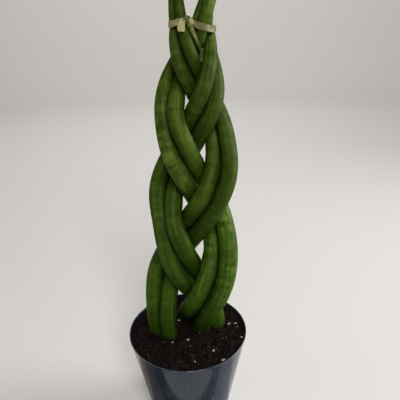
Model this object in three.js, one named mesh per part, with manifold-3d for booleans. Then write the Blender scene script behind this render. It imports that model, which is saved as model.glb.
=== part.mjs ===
// A braided cylindrical snake plant (Dracaena angolensis) in its round nursery pot.
//
// Six round leaves, each rooted on its own, stand in three side-by-side pairs. The three
// pairs are woven into a flat three-strand braid and tied near the top with one strip of
// raffia. Millimetres, +Z up, the braid's flat front towards -Y. The origin is the middle
// of the pot's underside.

import * as THREE from 'three';
import { mergeVertices } from 'three/addons/utils/BufferGeometryUtils.js';
import Module from 'manifold-3d';

const wasm = await Module();
wasm.setup();

// ------------------------------------------------------------------ driving dimensions

const GAP = 0.3; // clearance between pieces that touch

const POT = {
  height: 105,
  rimRadius: 60,
  footRadius: 40,
  wall: 1.1,
  floor: 1.8,
  heel: 2.5, // rounding where the wall meets the underside
  rimRound: 0.35, // eased edges of the rim
  sides: 48,
};

const SOIL = {
  edgeHeight: 102.2, // where the soil meets the wall
  crownHeight: 103, // the low mound under the braid
  shrink: 0.5, // how far the dried edge has drawn in from the wall
  rings: 4, // rings of the mound between its edge and its middle
};

const LEAF = {
  radius: 9.1, // what the radius tends to, far below the tip
  taper: 96, // length over which the leaf fills out from its tip
  tipRadius: 0.7,
  rootHeight: 64, // where the full section of the buried end begins
  rootRound: 6, // the rounding below it
  sides: 12,
  step: 4, // height between two stations of the settled leaf
  ringEvery: 2, // stations for one ring of the mesh
};

const FRONT = -Math.PI / 2; // the direction of the braid's front, seen from above

const TIE = {
  height: 392.6,
  width: 5.4,
  thickness: 0.6,
  rise: 3.8, // how far the strip climbs to the knot at the front
  riseMiddle: -13, // where it is highest, in degrees from the front (negative is left)
  riseHalf: 26, // degrees to each side of that over which it climbs
  lean: 3.7, // how far the strip is lower on its right than on its left
  steps: 60,
};

const KNOT = {
  x: 8.6,
  radii: [4.1, 2.3, 3.5], // across, deep and high
  above: 1.2, // the knot's middle over the strip's
  bite: 0.4, // how far the knot is sunk into the strip
  tilt: 25, // degrees, its right side down
};

// The two loose ends of the strip, with their widths at the knot and at the free end.
const FLAP = {
  widths: [5.2, 5.8],
  steps: 6,
  route: [
    [7.2, 397.6],
    [5.2, 396],
    [4.2, 393],
    [3.8, 389.9],
  ], // [x, z] down its middle
};

const TAIL = {
  widths: [2.8, 1.2],
  steps: 14,
  route: [
    [10.6, 395.6],
    [11.8, 391.2],
    [15.2, 383.4],
    [18.5, 374.9],
  ],
};

// One station of a strand's path: height, place across the braid, depth before it is pressed
// into the weave (negative is towards the front), roll of the pair in degrees (0 is side by
// side, positive brings the right-hand leaf forward), and how far apart its leaves have drawn.
const at = (z, x, y, turn, splay = 0) => ({ z, x, y, turn, splay });

// The three strands, from the tips down to the buried ends. Each passes in front of the same
// neighbour at every crossing. girth scales a leaf's radius.
const STRANDS = {
  first: {
    left: { tip: 447, girth: 0.92 },
    right: { tip: 452, girth: 0.93 },
    path: [
      at(462, -3, 0, 30),
      at(411, 0, -2.5, 45),
      at(393, 1.3, -3.5, 55),
      at(369, 5.2, -7.5, 34),
      at(337, 20, 6, 0),
      at(312, 31.6, 5, 30),
      at(284, 34, 0, 38),
      at(262, 26.8, -6, 18),
      at(242, 17, -8, 8),
      at(197, -7, 7, 5),
      at(165, -21.4, 4, 30),
      at(128, -26.2, -1, 32),
      at(101, -25.6, -1, 32),
      at(56, -23, -1, 32),
    ],
  },
  second: {
    left: { tip: 458, girth: 0.97 },
    right: { tip: 449, girth: 0.98 },
    path: [
      at(462, 43, -1, -80),
      at(411, 23.6, 10, -76),
      at(393, 19.6, 9.4, -74),
      at(383, 21.8, 8.8, -72),
      at(369, 23.9, 0.8, -72, 2),
      at(352, 24.8, -3, -40),
      at(337, 21.8, -7, -6),
      at(291, 0, 7, 5),
      at(262, -12.3, 4, 28),
      at(240, -15, 0, 30),
      at(197, -6, -7.5, 36),
      at(165, 4.5, 0, 32),
      at(136, 14.6, 9, 40),
      at(101, 26.6, 16, 68),
      at(56, 27.6, 17.5, 68),
    ],
  },
  third: {
    left: { tip: 446, girth: 1.0 },
    right: { tip: 454, girth: 1.02 },
    path: [
      at(462, 41, 8, 70),
      at(411, 24.6, 0.4, 66, 4),
      at(393, 20, 0.2, 58, 5.5),
      at(382, 14.8, 2.6, 50, 5.5),
      at(369, 7.8, 8.3, 24, 1.5),
      at(345, -5.4, 3, 28),
      at(325, -8, 0, 24),
      at(291, 0.9, -7, 15),
      at(242, 21.5, 7, 5),
      at(218, 31, 4, 30),
      at(196, 33.6, 0, 42),
      at(165, 25, -7, 40),
      at(136, 14, -3, 36),
      at(118, 8.4, 10, 46, 5.5),
      at(101, 4, 20, 50, 8),
      at(56, 2.2, 22, 50, 8),
    ],
  },
};

// How the leaves are pressed into the weave.
const WEAVE = {
  rounds: 400,
  rounding: 8, // length over which the corners of a path are eased beforehand
  bend: 18, // length along a leaf over which its stiffness spreads a push
  sideways: 0.15, // share of a push that may move a leaf across the braid
  reach: 7, // stations searched above and below for the nearest point
  spare: 0.4, // added to the gap, because the meshes' flats cut their corners
};

// ------------------------------------------------------------------ the woven leaves

// The value of one field of the path at a height: a cubic through the listed stations
// whose slope at each station is taken from the two beside it.
function along(path, field, z) {
  const last = path.length - 1;
  let i = 0;
  while (i < last - 1 && z < path[i + 1].z) i += 1;
  const slope = (k) => {
    const a = path[Math.max(k - 1, 0)];
    const b = path[Math.min(k + 1, last)];
    return (b[field] - a[field]) / (b.z - a.z);
  };
  const [p, q] = [path[i], path[i + 1]];
  const span = q.z - p.z;
  const t = (z - p.z) / span;
  const [t2, t3] = [t * t, t * t * t];
  return (
    (2 * t3 - 3 * t2 + 1) * p[field] +
    (t3 - 2 * t2 + t) * span * slope(i) +
    (3 * t2 - 2 * t3) * q[field] +
    (t3 - t2) * span * slope(i + 1)
  );
}

// Radius of a leaf at a height: it fills out quickly below the tip and then hardly grows.
function leafRadius(leaf, z) {
  const below = Math.max(leaf.tip - z, 0);
  const grown = LEAF.radius * leaf.girth - LEAF.tipRadius;
  return LEAF.tipRadius + grown * (1 - Math.exp(-below / LEAF.taper));
}

// One leaf of a pair as a list of stations {x, y, z, r}, from its buried end to its tip.
// side is -1 for the left-hand leaf of the pair and +1 for the right-hand one.
function makeLeaf(strand, side) {
  const leaf = side < 0 ? strand.left : strand.right;
  const stations = [];
  for (let height = LEAF.rootHeight; height < leaf.tip + LEAF.step; height += LEAF.step) {
    const z = Math.min(height, leaf.tip);
    const slope = (along(strand.path, 'x', z + 1) - along(strand.path, 'x', z - 1)) / 2;
    const turn = THREE.MathUtils.degToRad(along(strand.path, 'turn', z));
    const girths = leafRadius(strand.left, z) + leafRadius(strand.right, z);
    const reach = (girths + GAP + along(strand.path, 'splay', z)) / 2;
    stations.push({
      x: along(strand.path, 'x', z) + side * reach * Math.cos(turn) * Math.hypot(1, slope),
      y: along(strand.path, 'y', z) - side * reach * Math.sin(turn),
      z,
      r: leafRadius(leaf, z),
    });
  }
  return stations;
}

const bell = (distance, width) => Math.exp(-0.5 * (distance / width) ** 2);

// Eases the corners of a leaf's path: each station moves to the mean of those about it.
function easeCorners(leaf) {
  const before = leaf.map((p) => ({ ...p }));
  const most = Math.round((3 * WEAVE.rounding) / LEAF.step);
  leaf.forEach((p, i) => {
    const half = Math.min(most, i, leaf.length - 1 - i);
    let weight = 0;
    [p.x, p.y] = [0, 0];
    for (let k = -half; k <= half; k += 1) {
      const share = bell(k * LEAF.step, WEAVE.rounding);
      p.x += share * before[i + k].x;
      p.y += share * before[i + k].y;
      weight += share;
    }
    p.x /= weight;
    p.y /= weight;
  });
}

// Bends a leaf about one station: the push fades along the leaf as a bell curve.
function bend(leaf, station, dx, dy) {
  const reach = Math.round((3 * WEAVE.bend) / LEAF.step);
  for (let k = -reach; k <= reach; k += 1) {
    const p = leaf[station + k];
    if (!p) continue;
    const share = bell(k * LEAF.step, WEAVE.bend);
    p.x += share * dx;
    p.y += share * dy;
  }
}

// For each station of one leaf, the nearest station of the other and the room between them.
function nearest(one, other) {
  return one.map((a, i) => {
    const found = { room: Infinity, station: 0 };
    const stop = Math.min(i + WEAVE.reach, other.length - 1);
    for (let j = Math.max(i - WEAVE.reach, 0); j <= stop; j += 1) {
      const b = other[j];
      const room = Math.hypot(a.x - b.x, a.y - b.y, a.z - b.z) - a.r - b.r;
      if (room < found.room) Object.assign(found, { room, station: j });
    }
    return found;
  });
}

// Presses two leaves apart, mostly in depth, at the worst place of each of their contacts.
function pressApart(one, other) {
  const places = nearest(one, other);
  places.forEach(({ room, station }, i) => {
    const short = GAP + WEAVE.spare - room;
    const worse = [places[i - 1], places[i + 1]].some((place) => place && place.room < room);
    if (short <= 0 || worse) return;
    const [a, b] = [one[i], other[station]];
    const share = short / 2 / Math.hypot(a.x - b.x, a.y - b.y);
    const dx = share * WEAVE.sideways * (a.x - b.x);
    const dy = share * (a.y - b.y);
    bend(one, i, dx, dy);
    bend(other, station, -dx, -dy);
  });
}

// The six leaves by name, settled against each other.
function weave() {
  const leaves = {};
  for (const [name, strand] of Object.entries(STRANDS)) {
    leaves[`leaf_${name}_left`] = makeLeaf(strand, -1);
    leaves[`leaf_${name}_right`] = makeLeaf(strand, 1);
  }
  const list = Object.values(leaves);
  list.forEach(easeCorners);
  for (let round = 0; round < WEAVE.rounds; round += 1) {
    list.forEach((one, i) => list.slice(i + 1).forEach((other) => pressApart(one, other)));
  }
  return leaves;
}

// The middle and the level half-width of a leaf at a height, between its two stations there.
function sectionAt(leaf, z) {
  const i = THREE.MathUtils.clamp(Math.floor((z - leaf[0].z) / LEAF.step), 0, leaf.length - 2);
  const [a, b] = [leaf[i], leaf[i + 1]];
  const t = (z - a.z) / (b.z - a.z);
  const slant = Math.hypot(a.x - b.x, a.y - b.y, a.z - b.z) / Math.abs(b.z - a.z);
  return {
    x: THREE.MathUtils.lerp(a.x, b.x, t),
    y: THREE.MathUtils.lerp(a.y, b.y, t),
    r: THREE.MathUtils.lerp(a.r, b.r, t) * slant,
  };
}

// ------------------------------------------------------------------ solids

// A closed surface through rings of points that run anticlockwise as seen from the last
// ring. It runs round into its first ring, or ends in a point beyond each end ring.
function skin(rings, ends) {
  const sides = rings[0].length;
  const points = rings.flat();
  const faces = [];
  const spans = ends ? rings.length - 1 : rings.length;
  for (let i = 0; i < spans; i += 1) {
    for (let j = 0; j < sides; j += 1) {
      const [a, b] = [i * sides + j, i * sides + ((j + 1) % sides)];
      const [c, d] = [a, b].map((v) => (v + sides) % points.length);
      faces.push(a, b, d, a, d, c);
    }
  }
  if (ends) {
    const last = (rings.length - 1) * sides;
    for (let j = 0; j < sides; j += 1) {
      const next = (j + 1) % sides;
      faces.push(points.length, next, j, points.length + 1, last + j, last + next);
    }
    points.push(...ends);
  }
  const geometry = new THREE.BufferGeometry().setFromPoints(points);
  geometry.setIndex(faces);
  geometry.computeVertexNormals();
  return geometry;
}

// A geometry as a solid that can be joined and cut.
function toSolid(geometry) {
  const bare = geometry.clone();
  bare.deleteAttribute('normal');
  bare.deleteAttribute('uv');
  const { index, attributes } = mergeVertices(bare, 1e-4);
  return new wasm.Manifold(
    new wasm.Mesh({
      numProp: 3,
      vertProperties: new Float32Array(attributes.position.array),
      triVerts: new Uint32Array(index.array),
    }),
  );
}

function fromSolid(solid) {
  const { vertProperties, triVerts } = solid.getMesh();
  const geometry = new THREE.BufferGeometry();
  geometry.setAttribute('position', new THREE.BufferAttribute(vertProperties, 3));
  geometry.setIndex(new THREE.BufferAttribute(triVerts, 1));
  geometry.computeVertexNormals();
  return geometry;
}

// A profile of [radius, height] points turned about the upright axis.
function turned(profile) {
  const points = profile.map(([r, z]) => new THREE.Vector2(r, z));
  return new THREE.LatheGeometry(points, POT.sides).rotateX(Math.PI / 2);
}

// A round tube along a leaf's stations with a rounded buried end and a pointed tip, grown
// outwards by a clearance where it is to cut its own socket.
function leafGeometry(leaf, clearance = 0) {
  const stations = leaf.filter((_, i) => i % LEAF.ringEvery === 0);
  const tip = leaf[leaf.length - 1];
  if (!stations.includes(tip)) stations.push(tip);
  const rings = [];
  const ring = (middle, axis, r) => {
    const u = new THREE.Vector3(1, 0, 0).addScaledVector(axis, -axis.x).normalize();
    const v = axis.clone().cross(u);
    rings.push(
      Array.from({ length: LEAF.sides }, (_, k) => {
        const angle = (2 * Math.PI * k) / LEAF.sides;
        return middle
          .clone()
          .addScaledVector(u, r * Math.cos(angle))
          .addScaledVector(v, r * Math.sin(angle));
      }),
    );
  };
  const place = (p) => new THREE.Vector3(p.x, p.y, p.z);
  const axisAt = (i) => {
    const a = place(stations[Math.max(i - 1, 0)]);
    const b = place(stations[Math.min(i + 1, stations.length - 1)]);
    return b.sub(a).normalize();
  };
  const root = place(stations[0]);
  const rootAxis = axisAt(0);
  const rootRadius = stations[0].r + clearance;
  const rootLength = LEAF.rootRound + clearance;
  for (const angle of [Math.PI / 6, Math.PI / 3]) {
    const middle = root.clone().addScaledVector(rootAxis, -rootLength * Math.cos(angle));
    ring(middle, rootAxis, rootRadius * Math.sin(angle));
  }
  stations.forEach((p, i) => ring(place(p), axisAt(i), p.r + clearance));
  const end = place(tip).addScaledVector(axisAt(stations.length - 1), LEAF.tipRadius);
  return skin(rings, [root.addScaledVector(rootAxis, -rootLength), end]);
}

const outerRadius = (z) => THREE.MathUtils.lerp(POT.footRadius, POT.rimRadius, z / POT.height);
const innerRadius = (z) => outerRadius(z) - POT.wall;

// The thin tapered pot: a plain flat underside, a rounded heel and a bare thin rim.
function potGeometry() {
  const heelMiddle = outerRadius(POT.heel) - POT.heel;
  const heel = [0, 0.33, 0.67, 1].map((part) => {
    const angle = (part * Math.PI) / 2;
    return [
      heelMiddle + POT.heel * Math.sin(angle),
      POT.heel * (1 - Math.cos(angle)),
    ];
  });
  const eased = POT.height - POT.rimRound;
  return turned([
    [0, 0],
    ...heel,
    [outerRadius(eased), eased],
    [outerRadius(POT.height) - POT.rimRound, POT.height],
    [innerRadius(POT.height) + POT.rimRound, POT.height],
    [innerRadius(eased), eased],
    [innerRadius(POT.floor), POT.floor],
    [0, POT.floor],
  ]);
}

// The soil: it fills the pot to a low mound, with a socket for each leaf.
function soilGeometry(leaves) {
  const bottom = POT.floor + GAP;
  const edge = innerRadius(SOIL.edgeHeight) - GAP - SOIL.shrink;
  const shoulder = SOIL.edgeHeight - 4 * SOIL.shrink;
  const mound = [];
  for (let ring = 0; ring <= SOIL.rings; ring += 1) {
    const out = 1 - ring / SOIL.rings;
    const swell = (1 + Math.cos(Math.PI * out)) / 2;
    mound.push([edge * out, THREE.MathUtils.lerp(SOIL.edgeHeight, SOIL.crownHeight, swell)]);
  }
  let soil = toSolid(
    turned([
      [0, bottom],
      [innerRadius(bottom) - GAP, bottom],
      [innerRadius(shoulder) - GAP, shoulder],
      ...mound,
    ]),
  );
  for (const leaf of Object.values(leaves)) {
    soil = soil.subtract(toSolid(leafGeometry(leaf, GAP)));
  }
  return fromSolid(soil);
}

// ------------------------------------------------------------------ the tie

// The height of the strip's middle on the side that faces a direction seen from above.
function stripHeight(angle) {
  const away = angle - FRONT - THREE.MathUtils.degToRad(TIE.riseMiddle);
  const nearest = THREE.MathUtils.radToDeg(Math.atan2(Math.sin(away), Math.cos(away)));
  const climb = bell(nearest, TIE.riseHalf);
  return TIE.height + TIE.rise * climb - (TIE.lean * Math.cos(angle)) / 2;
}

// The strip's inner face once round the bunch, clockwise from above. On each side it lies
// on the leaf that stands out furthest that way, over the height of the strip.
function stripPath(leaves) {
  return Array.from({ length: TIE.steps }, (_, k) => {
    const angle = FRONT - (2 * Math.PI * (k + 0.5)) / TIE.steps;
    const out = new THREE.Vector3(Math.cos(angle), Math.sin(angle), 0);
    const middle = stripHeight(angle);
    let best = -Infinity;
    let point = null;
    for (const leaf of Object.values(leaves)) {
      for (const level of [-0.5, 0, 0.5]) {
        const { x, y, r } = sectionAt(leaf, middle + level * TIE.width);
        const reach = out.x * x + out.y * y + r + GAP;
        if (reach <= best) continue;
        best = reach;
        point = new THREE.Vector3(x, y, middle).addScaledVector(out, r + GAP);
      }
    }
    return { point, out };
  });
}

// A flat section of a strip: its inner face at a point, its thickness outwards, its width
// across.
function stripSection(point, out, across, width) {
  const corners = [
    [-0.5, 0],
    [-0.5, 1],
    [0.5, 1],
    [0.5, 0],
  ];
  return corners.map(([side, depth]) =>
    point
      .clone()
      .addScaledVector(across, side * width)
      .addScaledVector(out, depth * TIE.thickness),
  );
}

// How far forward the leaves, and the strip where it passes, reach at one place across the
// braid and one height.
function frontAt(leaves, path, x, z) {
  let front = Infinity;
  for (const leaf of Object.values(leaves)) {
    const section = sectionAt(leaf, z);
    const inside = section.r ** 2 - (x - section.x) ** 2;
    if (inside > 0) front = Math.min(front, section.y - Math.sqrt(inside));
  }
  path.forEach(({ point: a, out }, i) => {
    const { point: b } = path[(i + 1) % path.length];
    const passes = (a.x - x) * (b.x - x) <= 0 && Math.abs(a.z - z) < TIE.width / 2 + GAP;
    if (passes && out.y < 0) front = Math.min(front, a.y - TIE.thickness, b.y - TIE.thickness);
  });
  return front;
}

// A loose end of the strip: it hangs from the knot down a path of [x, z] points and lies
// close over what is behind it. Its width runs from the first to the second given.
function looseEnd(leaves, path, { route, widths, steps }) {
  const curve = new THREE.CatmullRomCurve3(route.map(([x, z]) => new THREE.Vector3(x, 0, z)));
  const points = curve.getPoints(steps);
  const half = Math.max(...widths) / 2;
  for (const point of points) {
    const behind = [-half, 0, half].map((side) => frontAt(leaves, path, point.x + side, point.z));
    point.y = Math.min(...behind) - GAP;
  }
  const out = new THREE.Vector3(0, -1, 0);
  const rings = points.map((point, i) => {
    const next = points[Math.min(i + 1, steps)];
    const across = next.clone().sub(points[Math.max(i - 1, 0)]).cross(out).normalize();
    return stripSection(point, out, across, THREE.MathUtils.lerp(...widths, i / steps));
  });
  const middleOf = (ring) =>
    ring.reduce((sum, p) => sum.add(p), new THREE.Vector3()).divideScalar(ring.length);
  return skin(rings, [middleOf(rings[0]), middleOf(rings[steps])]);
}

// The whole tie: the strip, its knot at the front, its short end and its long thin tail.
function tieGeometry(leaves) {
  const path = stripPath(leaves);
  const up = new THREE.Vector3(0, 0, 1);
  const band = skin(path.map(({ point, out }) => stripSection(point, out, up, TIE.width)));
  const level = stripHeight(FRONT);
  const knot = new THREE.SphereGeometry(1, 12, 8)
    .scale(...KNOT.radii)
    .rotateY(THREE.MathUtils.degToRad(KNOT.tilt))
    .translate(
      KNOT.x,
      frontAt(leaves, path, KNOT.x, level) - KNOT.radii[1] + KNOT.bite,
      level + KNOT.above,
    );
  const pieces = [band, knot, looseEnd(leaves, path, FLAP), looseEnd(leaves, path, TAIL)];
  return fromSolid(wasm.Manifold.union(pieces.map(toSolid)));
}

// ------------------------------------------------------------------ the plant in its pot

const FINISH = {
  pot: new THREE.MeshStandardMaterial({ color: 0x4c5256, roughness: 0.32, metalness: 0 }),
  soil: new THREE.MeshStandardMaterial({ color: 0x1c1613, roughness: 0.95, metalness: 0 }),
  leaf: new THREE.MeshStandardMaterial({ color: 0x4a7028, roughness: 0.45, metalness: 0 }),
  raffia: new THREE.MeshStandardMaterial({ color: 0xb9ab82, roughness: 0.7, metalness: 0 }),
};

const plant = new THREE.Group();

function addPiece(name, geometry, material) {
  const mesh = new THREE.Mesh(geometry, material);
  mesh.name = name;
  plant.add(mesh);
}

const leaves = weave();
addPiece('pot', potGeometry(), FINISH.pot);
addPiece('soil', soilGeometry(leaves), FINISH.soil);
for (const [name, leaf] of Object.entries(leaves)) {
  addPiece(name, leafGeometry(leaf), FINISH.leaf);
}
addPiece('tie', tieGeometry(leaves), FINISH.raffia);

export default plant;
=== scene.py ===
"""The looks of a braided cylindrical snake plant in its round pot.

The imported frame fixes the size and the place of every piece. This script makes the fine
surfaces that are seen in place of the frame's plain solids: six ribbed leaves, the peat with
its loose grains, the thin glossy pot and the knotted strip of raffia. Everything is in
metres, +Z up, with the flat front of the braid towards -Y.
"""

import logging
import math
from dataclasses import dataclass, field
from enum import Enum
from itertools import combinations
from typing import Any, Optional, Sequence

import bpy
import numpy as np
from mathutils import Matrix, Vector

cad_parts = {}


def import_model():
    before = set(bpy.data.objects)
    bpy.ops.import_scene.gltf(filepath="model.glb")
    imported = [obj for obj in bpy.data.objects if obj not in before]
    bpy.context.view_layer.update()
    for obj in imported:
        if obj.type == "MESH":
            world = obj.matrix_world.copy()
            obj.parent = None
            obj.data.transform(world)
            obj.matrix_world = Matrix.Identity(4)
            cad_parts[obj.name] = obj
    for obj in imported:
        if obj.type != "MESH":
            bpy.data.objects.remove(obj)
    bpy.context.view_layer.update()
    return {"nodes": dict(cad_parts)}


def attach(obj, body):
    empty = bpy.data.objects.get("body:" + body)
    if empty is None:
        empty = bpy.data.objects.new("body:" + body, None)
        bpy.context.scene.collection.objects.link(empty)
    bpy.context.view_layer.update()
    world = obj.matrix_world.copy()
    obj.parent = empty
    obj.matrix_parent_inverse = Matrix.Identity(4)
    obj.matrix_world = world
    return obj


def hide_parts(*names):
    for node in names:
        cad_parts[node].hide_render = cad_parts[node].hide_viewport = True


MM = 0.001
BODY = "root"
TURN = 2 * math.pi
FRONT = -math.pi / 2  # the side that faces -Y
AXIS_MIXERS = np.array([374761393, 668265263, 1440662683])  # odd numbers that spread bits
SEED_MIXER = 974634777
BIT_MIXER = 1274126177
WORD = 0xFFFFFFFF  # keeps the lowest 32 bits

Colour = tuple[float, float, float, float]
Triple = tuple[float, float, float]
Pair = tuple[float, float]
Rows = tuple[tuple[float, ...], ...]
Piece = bpy.types.Object

log = logging.getLogger("snake_plant")


class Slot(Enum):
    """The record's material slots."""

    POT = "pot"
    SOIL = "soil"
    LEAF = "leaf"
    RAFFIA = "raffia"


# ---------------- numpy tools


def smooth_step(low: float, high: float, value: np.ndarray) -> np.ndarray:
    """A soft step: 0 below low, 1 above high, and 3t^2 - 2t^3 between them."""
    t = np.clip((value - low) / (high - low), 0, 1)
    return t * t * (3 - 2 * t)


def bell(value: np.ndarray, width: float) -> np.ndarray:
    """A bell that is 1 at nought: e to the power of minus (value / width)^2."""
    return np.exp(-((value / width) ** 2))


def wrapped(angle: np.ndarray) -> np.ndarray:
    """Angles brought between minus and plus half a turn."""
    return np.angle(np.exp(1j * angle))


def unit(vectors: np.ndarray) -> np.ndarray:
    """The vectors of the last axis, scaled to length one."""
    return vectors / np.linalg.norm(vectors, axis=-1, keepdims=True)


def turned(radius: np.ndarray, angle: np.ndarray, height: np.ndarray) -> np.ndarray:
    """Points about the upright axis: radius times cosine and sine of the angle, and height."""
    return np.stack(np.broadcast_arrays(radius * np.cos(angle), radius * np.sin(angle), height), -1)


def circle(sides: int) -> np.ndarray:
    """Angles spaced evenly round a full turn."""
    return np.linspace(0, TURN, sides, endpoint=False)


def onward(line: np.ndarray, closed: bool = False) -> np.ndarray:
    """The direction of a line at each point, from the one before it to the one after."""
    ahead = np.roll(line, -1, axis=0) - np.roll(line, 1, axis=0)
    return unit(ahead if closed else np.gradient(line, axis=0))


def lengths(line: np.ndarray) -> np.ndarray:
    """How far along a line each of its points lies: the sum of the steps up to it."""
    return np.cumsum(np.linalg.norm(np.diff(line, axis=0, prepend=line[:1]), axis=1))


def lattice(cell: np.ndarray, seed: int) -> np.ndarray:
    """A repeatable random number from -1 to 1 for each whole-number lattice point.

    Args:
        cell: lattice points, as integers in the last axis of three.
        seed: another seed gives other numbers.

    Returns:
        One number for each point, by mixing the bits of its three whole numbers.
    """
    mixed = (cell @ AXIS_MIXERS + seed * SEED_MIXER) & WORD
    mixed = ((mixed ^ (mixed >> 13)) * BIT_MIXER) & WORD
    return (mixed ^ (mixed >> 16)) / 2.0**31 - 1


def noise(points: np.ndarray, seed: int, octaves: int = 1) -> np.ndarray:
    """Soft random hills: lattice numbers blended by a soft step along each axis.

    Each further octave has half the size and half the height of the one before.

    Args:
        points: places in the last axis of three, in units of one hill.
        seed: another seed gives other hills.
        octaves: how many sizes of hill are added up.

    Returns:
        One height for each place, about -1 to 1.
    """
    total = np.zeros(points.shape[:-1])
    for octave in range(octaves):
        scaled = points * 2**octave
        cell = np.floor(scaled).astype(np.int64)
        part = smooth_step(0, 1, scaled - cell)
        for corner in np.ndindex(2, 2, 2):
            step = np.array(corner)
            weight = np.prod(np.where(step == 1, part, 1 - part), axis=-1)
            total += weight * lattice(cell + step, seed + 31 * octave) / 2**octave
    return total


def eased(values: np.ndarray, width: float) -> np.ndarray:
    """Each row replaced by the bell-weighted mean of the rows about it.

    Past its ends the table goes on in a straight line, so the ends keep their place.

    Args:
        values: a table whose rows are evenly spaced stations.
        width: the bell's spread, in stations.

    Returns:
        The eased table, with the same shape.
    """
    reach = max(1, int(3 * width))
    offsets = np.arange(1, reach + 1)[:, None]
    before = values[0] - (values[1] - values[0]) * offsets[::-1]
    after = values[-1] + (values[-1] - values[-2]) * offsets
    table = np.concatenate([before, values, after])
    weights = np.exp(-0.5 * (np.arange(-reach, reach + 1) / width) ** 2)
    weights /= weights.sum()
    return np.stack([np.convolve(column, weights, "valid") for column in table.T], axis=1)


def spline(points: Sequence[Sequence[float]], count: int) -> np.ndarray:
    """A smooth curve through a few points: a Catmull-Rom cubic between each two.

    Args:
        points: the points that the curve passes.
        count: how many even steps of its parameter are returned.

    Returns:
        The curve's points, count by the width of one point.
    """
    table = np.array(points, float)
    padded = np.concatenate([[2 * table[0] - table[1]], table, [2 * table[-1] - table[-2]]])
    place = np.linspace(0, len(table) - 1, count)
    i = np.minimum(place.astype(int), len(table) - 2)
    t = (place - i)[:, None]
    a, b, c, d = (padded[i + k] for k in range(4))
    square, cube = 2 * a - 5 * b + 4 * c - d, 3 * b - a - 3 * c + d
    return 0.5 * (2 * b + (c - a) * t + square * t**2 + cube * t**3)


def ball(level: int) -> tuple[np.ndarray, np.ndarray]:
    """A ball of triangles: an icosahedron whose faces are quartered level times.

    Args:
        level: how often the faces are quartered.

    Returns:
        The points on the unit ball and the faces.
    """
    golden = (1 + math.sqrt(5)) / 2
    flat = [(0, a, b * golden) for a in (-1, 1) for b in (-1, 1)]
    points = unit(np.array([np.roll(p, k) for k in range(3) for p in flat], float))
    near = np.linalg.norm(points[:, None] - points, axis=-1) < 1.2
    faces = np.array([f for f in combinations(range(12), 3) if near[np.ix_(f, f)].all()])
    a, b, c = (points[faces[:, k]] for k in range(3))
    inward = np.einsum("ij,ij->i", np.cross(b - a, c - a), a) < 0
    faces[inward] = faces[inward][:, ::-1]
    for _ in range(level):
        edges = np.concatenate([faces[:, [0, 1]], faces[:, [1, 2]], faces[:, [2, 0]]])
        pairs, place = np.unique(np.sort(edges, axis=1), axis=0, return_inverse=True)
        ab, bc, ca = place.reshape(3, -1) + len(points)
        points = np.concatenate([points, unit(points[pairs].sum(axis=1))])
        a, b, c = faces.T
        parts = ((a, ab, ca), (b, bc, ab), (c, ca, bc), (ab, bc, ca))
        faces = np.concatenate([np.stack(part, axis=1) for part in parts])
    return points, faces


# ---------------- mesh tools


def add_object(name: str, data: Any) -> Piece:
    """Adds an object to the scene.

    Args:
        name: its name.
        data: its mesh, camera or light.

    Returns:
        The object, at the origin.
    """
    made = bpy.data.objects.new(name, data)
    bpy.context.scene.collection.objects.link(made)
    return made


def add_mesh(name: str, points: np.ndarray, faces: list[list[int]]) -> Piece:
    """Adds a smooth-shaded mesh.

    Args:
        name: the piece's name.
        points: its vertices, in metres.
        faces: its faces as lists of vertex numbers, anticlockwise from outside.

    Returns:
        The new object.
    """
    mesh = bpy.data.meshes.new(name)
    mesh.from_pydata(points.reshape(-1, 3).tolist(), [], faces)
    mesh.validate()
    mesh.shade_smooth()
    return add_object(name, mesh)


def add_skin(
    name: str, rings: np.ndarray, first: Optional[Triple] = None, last: Optional[Triple] = None
) -> Piece:
    """Adds a surface through rings of points, anticlockwise as seen from the last one.

    An end with an end point is closed by a fan to it. With neither, the last ring joins
    the first.

    Args:
        name: the piece's name.
        rings: rings by points by three, in metres.
        first: the end point before the first ring.
        last: the end point after the last ring.

    Returns:
        The new object.
    """
    count, sides = rings.shape[:2]
    joined = first is None and last is None
    here = np.arange(sides)
    beside = (here + 1) % sides
    low = np.arange(count if joined else count - 1)[:, None] * sides
    high = (low + sides) % (count * sides)
    quads = np.stack([low + here, low + beside, high + beside, high + here], axis=-1)
    faces = quads.reshape(-1, 4).tolist()
    points = rings.reshape(-1, 3)
    top = (count - 1) * sides
    for end, one, other in ((first, beside, here), (last, top + here, top + beside)):
        if end is not None:
            faces += np.stack([np.full(sides, len(points)), one, other], axis=1).tolist()
            points = np.concatenate([points, [end]])
    return add_mesh(name, points, faces)


def add_attributes(piece: Piece, **tables: np.ndarray) -> None:
    """Stores numbers or vectors for each vertex; the end points take the last one's.

    Args:
        piece: the mesh object.
        **tables: what its material reads, by name: rings by points, or by points by three.
    """
    for name, table in tables.items():
        kind, key, width = ("FLOAT", "value", 1) if table.ndim == 2 else ("FLOAT_VECTOR", "vector", 3)
        values = table.reshape(-1, width).astype(np.float32)
        rest = len(piece.data.vertices) - len(values)
        values = np.concatenate([values, np.repeat(values[-1:], rest, axis=0)])
        piece.data.attributes.new(name, kind, "POINT").data.foreach_set(key, values.ravel())


def dress(
    piece: Piece,
    material: bpy.types.Material,
    replaced: Optional[str] = None,
) -> None:
    """Gives a piece its material and body, and reports it.

    Args:
        piece: the mesh object.
        material: its finish.
        replaced: the node that it stands in for, where there is one.
    """
    piece.data.materials.clear()
    piece.data.materials.append(material)
    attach(piece, BODY)
    if replaced:
        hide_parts(replaced)
    log.info("%s: %d faces", piece.name, len(piece.data.polygons))


# ---------------- materials


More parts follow.
